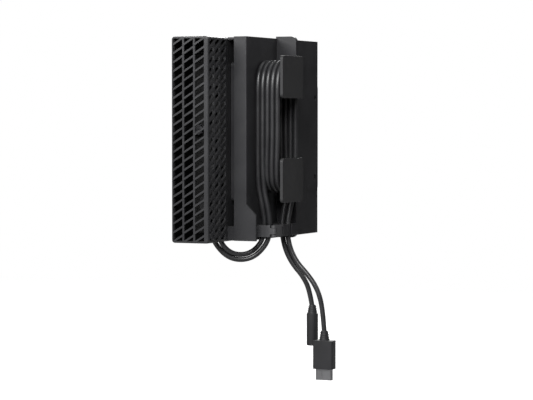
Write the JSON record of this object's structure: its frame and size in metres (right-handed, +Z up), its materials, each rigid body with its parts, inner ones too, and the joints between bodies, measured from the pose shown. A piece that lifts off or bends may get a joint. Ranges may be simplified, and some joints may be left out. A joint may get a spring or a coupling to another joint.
{
  "type": "mini pc",
  "caption": "Slim upright mini PC in a bolt-up cradle, with a lattice cable cover and two leads wound on square-plated cord posts.",
  "frame": {"origin": "centre of the square bolt pattern on the cradle's raised outer land", "axes": "+X from the lattice cable cover to the front bezel, -Y out of the bolted face, +Z up"},
  "size_m": [0.2182, 0.1186, 0.3105],
  "materials": {
    "case_steel": "fine textured black powder coat",
    "case_moulding": "fine grained black moulding",
    "cradle_moulding": "fine grained black moulding",
    "gate_moulding": "fine grained dark grey moulding",
    "key_plastic": "satin black",
    "light_lens": "clear diffusing",
    "socket_metal": "plated",
    "inlet_plastic": "plain black",
    "circuit_board": "solder mask",
    "chip_metal": "nickel plated",
    "bright_aluminium": "plain",
    "fan_plastic": "plain black",
    "zinc_steel": "zinc plated",
    "screw_steel": "blackened to plain",
    "foot_rubber": "soft",
    "lead_jacket": "smooth soft jacket",
    "plug_plastic": "satin overmould"
  },
  "bodies": {
    "machine": {"chassis_tray": "case_steel", "rear_panel": "case_steel", "front_bezel": "case_moulding", "cradle_shell": "cradle_moulding", "cradle_pad": "cradle_moulding", "upper_cord_post": "cradle_moulding", "lower_cord_post": "cradle_moulding", "tail_clip": "cradle_moulding", "lead_clip": "gate_moulding", "status_light": "light_lens", "usb_sockets": "socket_metal", "display_sockets": "socket_metal", "front_sockets": "socket_metal", "lan_socket": "socket_metal", "dc_socket": "inlet_plastic", "audio_socket": "inlet_plastic", "card_connectors": "inlet_plastic", "memory_sockets": "inlet_plastic", "coin_cell_holder": "inlet_plastic", "button_switch": "inlet_plastic", "speaker": "inlet_plastic", "motherboard": "circuit_board", "memory_modules": "circuit_board", "ssd_card": "circuit_board", "wireless_card": "circuit_board", "processor": "chip_metal", "coin_cell": "chip_metal", "heatsink": "bright_aluminium", "disk_drive": "bright_aluminium", "blower_housing": "fan_plastic", "board_standoffs": "zinc_steel", "drive_caddy": "zinc_steel", "mount_plate": "zinc_steel", "cradle_plate": "zinc_steel", "board_screws": "screw_steel", "post_screws": "screw_steel", "keyhole_studs": "screw_steel", "gate_pin": "screw_steel", "rubber_feet": "foot_rubber", "display_lead_loop": "lead_jacket", "power_lead_loop": "lead_jacket", "lead_winding": "lead_jacket", "display_lead_tail": "lead_jacket", "power_lead_tail": "lead_jacket", "display_plug": "plug_plastic", "power_plug": "plug_plastic", "display_connector": "plug_plastic", "power_coupler": "plug_plastic"},
    "side_cover": {"side_cover": "case_steel"},
    "thumb_screw": {"thumb_screw": "screw_steel"},
    "button": {"power_button": "key_plastic"},
    "fan": {"fan_rotor": "fan_plastic"},
    "cable_cover": {"cable_cover": "case_moulding"},
    "latch": {"release_latch": "cradle_moulding"},
    "gate": {"lead_gate": "gate_moulding"}
  },
  "joints": [
    {"name": "cable_cover_slide", "type": "slide", "parent": "machine", "child": "cable_cover", "axis": [-1, 0, 0], "range_m": [0, 0.06]},
    {"name": "side_cover_slide", "type": "slide", "parent": "machine", "child": "side_cover", "axis": [1, 0, 0], "range_m": [0, 0.012]},
    {"name": "thumb_screw_turn", "type": "hinge", "parent": "machine", "child": "thumb_screw", "pos_m": [-0.117, 0.0476, 0.0082], "axis": [1, 0, 0], "continuous": true},
    {"name": "power_button_press", "type": "slide", "parent": "machine", "child": "button", "axis": [-1, 0, 0], "range_m": [0, 0.0015], "stiffness_N_per_m": 400},
    {"name": "fan_spin", "type": "hinge", "parent": "machine", "child": "fan", "pos_m": [-0.044, 0.0396, -0.0448], "axis": [0, 1, 0], "continuous": true},
    {"name": "release_latch_slide", "type": "slide", "parent": "machine", "child": "latch", "axis": [0, 0, -1], "range_m": [0, 0.004], "stiffness_N_per_m": 300, "springref_m": -0.001},
    {"name": "lead_gate_swing", "type": "hinge", "parent": "machine", "child": "gate", "pos_m": [-0.0977, -0.0171, -0.08275], "axis": [0, 0, 1], "range_deg": [0, 100]}
  ]
}
